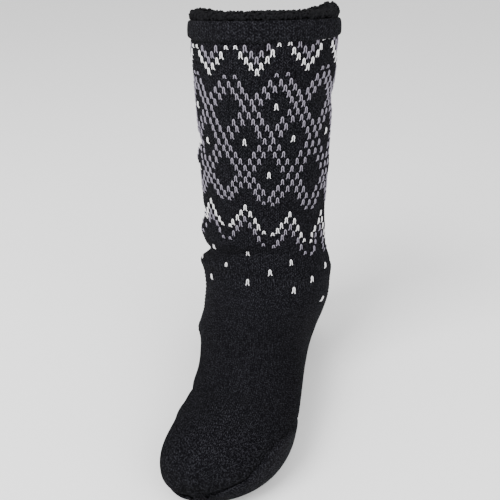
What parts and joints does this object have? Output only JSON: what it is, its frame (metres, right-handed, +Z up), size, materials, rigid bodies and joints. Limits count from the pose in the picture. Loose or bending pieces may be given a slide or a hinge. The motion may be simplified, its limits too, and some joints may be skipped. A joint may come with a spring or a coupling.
{
  "type": "slipper sock",
  "caption": "Slipper sock for a left foot: tall knitted leg with a folk pattern, ribbed turned cuff, rolled pile lining and a thick cupped knit sole.",
  "frame": {"origin": "on the floor, under the middle of the heel", "axes": "+Z up the leg, -Y from the heel towards the toe, +X towards the little toe's side"},
  "size_m": [0.1127, 0.2554, 0.2934],
  "materials": {
    "charcoal_knit": "matte heathered wool-like yarn, charcoal nearly black",
    "sole_knit": "matte dense knit, charcoal nearly black",
    "black_pile": "matte nubby pile, black",
    "grey_yarn": "matte fuzzy yarn, mid grey",
    "white_yarn": "matte fuzzy yarn, white"
  },
  "bodies": {
    "root": {"upper": "charcoal_knit", "sole": "sole_knit", "cuff": "charcoal_knit", "lining": "black_pile", "insole": "black_pile"}
  },
  "joints": []
}
